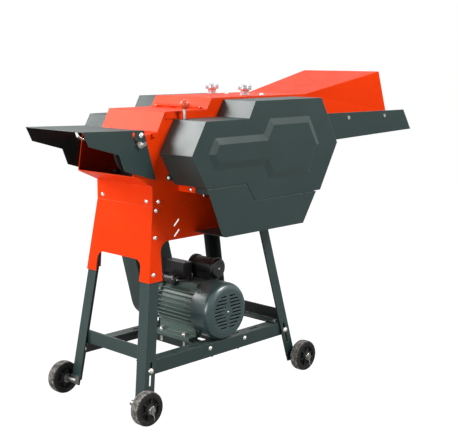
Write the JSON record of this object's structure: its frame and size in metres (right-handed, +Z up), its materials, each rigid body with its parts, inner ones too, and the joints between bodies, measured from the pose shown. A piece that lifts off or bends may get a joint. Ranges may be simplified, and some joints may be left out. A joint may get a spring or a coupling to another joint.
{
  "type": "chaff cutter",
  "caption": "Motor-driven chaff cutter: feed tray and rollers push fodder into a drum of knives, which throws it out under a tilting hood, on a wheeled angle-iron stand.",
  "frame": {"origin": "middle of the bounding box on the ground under the wheels", "axes": "+X from the discharge hood towards the feed tray, +Y from the lever side to the belt side, +Z up"},
  "size_m": [1.4134, 0.512, 0.942],
  "materials": {
    "red_paint": "gloss enamel on sheet steel",
    "green_paint": "satin grey-green enamel",
    "zinc_plate": "bright zinc plating",
    "chrome_knob": "polished turned steel",
    "bare_steel": "ground and oiled steel",
    "primed_steel": "thin dark primer on steel",
    "cast_iron": "machined cast iron",
    "belt_rubber": "matte moulded rubber",
    "fan_plastic": "moulded plastic",
    "box_plastic": "black moulded plastic",
    "lead_rubber": "black cable sheath",
    "red_ball": "glossy moulded ball",
    "tyre": "dusty solid rubber"
  },
  "bodies": {
    "stand_and_housing": {"legs_front": "green_paint", "legs_rear": "green_paint", "side_rails": "green_paint", "end_rails": "green_paint", "motor_rails": "green_paint", "frame_bolts": "zinc_plate", "skirt": "red_paint", "skirt_bolts": "zinc_plate", "side_plate_front": "red_paint", "side_plate_rear": "red_paint", "discharge_chute": "red_paint", "rotor_pan": "red_paint", "feed_box_top": "red_paint", "feed_floor": "red_paint", "cover_hinge": "zinc_plate", "cover_latch": "red_paint", "counter_knife": "bare_steel", "shaft_bearings": "green_paint", "drive_belt": "belt_rubber", "motor_body": "green_paint", "fan_cover": "green_paint", "terminal_box": "box_plastic", "capacitor_covers": "box_plastic", "capacitor_leads": "lead_rubber", "front_guard": "green_paint", "front_guard_lower": "green_paint", "rear_guard": "green_paint", "belt_guard": "green_paint", "cover_bolts": "zinc_plate", "idler_stud": "bare_steel", "shift_bracket": "bare_steel", "hood_knobs": "zinc_plate", "feed_tray": "green_paint", "feed_hood": "red_paint", "wheel_axles": "zinc_plate"},
    "rotor": {"rotor_shaft": "bare_steel", "rotor_discs": "primed_steel", "rotor_knives": "bare_steel", "rotor_pulley": "cast_iron"},
    "pinion": {"shift_pinion": "cast_iron"},
    "lever": {"shift_lever": "bare_steel", "lever_ball": "red_ball"},
    "idler": {"idler_gear": "cast_iron"},
    "lower_roller": {"lower_roller": "primed_steel", "lower_roller_gears": "cast_iron"},
    "press_frame": {"press_frame": "green_paint", "press_springs": "bare_steel"},
    "upper_roller": {"upper_roller": "primed_steel", "upper_roller_gear": "cast_iron"},
    "motor_rotor": {"motor_shaft": "bare_steel", "cooling_fan": "fan_plastic", "motor_pulley": "cast_iron"},
    "hood": {"deflector_hood": "green_paint"},
    "cover": {"rotor_cover": "red_paint"},
    "knob_front": {"pressure_knob_front": "chrome_knob"},
    "knob_rear": {"pressure_knob_rear": "chrome_knob"},
    "wheel_fl": {"wheel_front_left": "tyre"},
    "wheel_fr": {"wheel_front_right": "tyre"},
    "wheel_rl": {"wheel_rear_left": "tyre"},
    "wheel_rr": {"wheel_rear_right": "tyre"}
  },
  "joints": [
    {"name": "rotor_spin", "type": "hinge", "parent": "stand_and_housing", "child": "rotor", "pos_m": [-0.33925, 0, 0.73], "axis": [0, 1, 0], "continuous": true},
    {"name": "pinion_slide", "type": "slide", "parent": "rotor", "child": "pinion", "axis": [0, 1, 0], "range_m": [0, 0.0131]},
    {"name": "shift_lever_swing", "type": "hinge", "parent": "stand_and_housing", "child": "lever", "pos_m": [-0.36425, -0.135, 0.782], "axis": [1, 0, 0], "range_deg": [0, 13.79]},
    {"name": "idler_spin", "type": "hinge", "parent": "stand_and_housing", "child": "idler", "pos_m": [-0.23242, -0.17, 0.71799], "axis": [0, 1, 0], "continuous": true},
    {"name": "lower_roller_spin", "type": "hinge", "parent": "stand_and_housing", "child": "lower_roller", "pos_m": [-0.14625, 0, 0.658], "axis": [0, 1, 0], "continuous": true},
    {"name": "press_frame_lift", "type": "hinge", "parent": "stand_and_housing", "child": "press_frame", "pos_m": [0.05875, 0, 0.8], "axis": [0, 1, 0], "range_deg": [0, 2.2], "stiffness_Nm_per_rad": 350, "springref_deg": -2.86, "deforming": ["press_springs"]},
    {"name": "upper_roller_spin", "type": "hinge", "parent": "press_frame", "child": "upper_roller", "pos_m": [-0.14625, 0, 0.778], "axis": [0, 1, 0], "continuous": true},
    {"name": "motor_spin", "type": "hinge", "parent": "stand_and_housing", "child": "motor_rotor", "pos_m": [-0.21325, 0, 0.2465], "axis": [0, 1, 0], "continuous": true},
    {"name": "hood_tilt", "type": "hinge", "parent": "stand_and_housing", "child": "hood", "pos_m": [-0.51275, 0, 0.7835], "axis": [0, -1, 0], "range_deg": [-6, 20]},
    {"name": "cover_lift", "type": "hinge", "parent": "stand_and_housing", "child": "cover", "pos_m": [-0.26325, 0, 0.8475], "axis": [0, 1, 0], "range_deg": [0, 110]},
    {"name": "knob_front_turn", "type": "hinge", "parent": "stand_and_housing", "child": "knob_front", "pos_m": [-0.05025, -0.07, 0.89], "axis": [0, 0, 1], "continuous": true},
    {"name": "knob_rear_turn", "type": "hinge", "parent": "stand_and_housing", "child": "knob_rear", "pos_m": [-0.05025, 0.07, 0.89], "axis": [0, 0, 1], "continuous": true},
    {"name": "wheel_front_left_roll", "type": "hinge", "parent": "stand_and_housing", "child": "wheel_fl", "pos_m": [-0.55977, -0.188, 0.048], "axis": [0, 1, 0], "continuous": true},
    {"name": "wheel_front_right_roll", "type": "hinge", "parent": "stand_and_housing", "child": "wheel_fr", "pos_m": [0.10358, -0.188, 0.048], "axis": [0, 1, 0], "continuous": true},
    {"name": "wheel_rear_left_roll", "type": "hinge", "parent": "stand_and_housing", "child": "wheel_rl", "pos_m": [-0.55977, 0.188, 0.048], "axis": [0, 1, 0], "continuous": true},
    {"name": "wheel_rear_right_roll", "type": "hinge", "parent": "stand_and_housing", "child": "wheel_rr", "pos_m": [0.10358, 0.188, 0.048], "axis": [0, 1, 0], "continuous": true}
  ],
  "couplings": [
    {"joint": "idler_spin", "follows": "rotor_spin", "ratio": -0.19444},
    {"joint": "lower_roller_spin", "follows": "rotor_spin", "ratio": 0.05303},
    {"joint": "upper_roller_spin", "follows": "rotor_spin", "ratio": -0.05303},
    {"joint": "motor_spin", "follows": "rotor_spin", "ratio": 1.7273},
    {"joint": "pinion_slide", "follows": "shift_lever_swing", "m_per_rad": 0.054013}
  ]
}
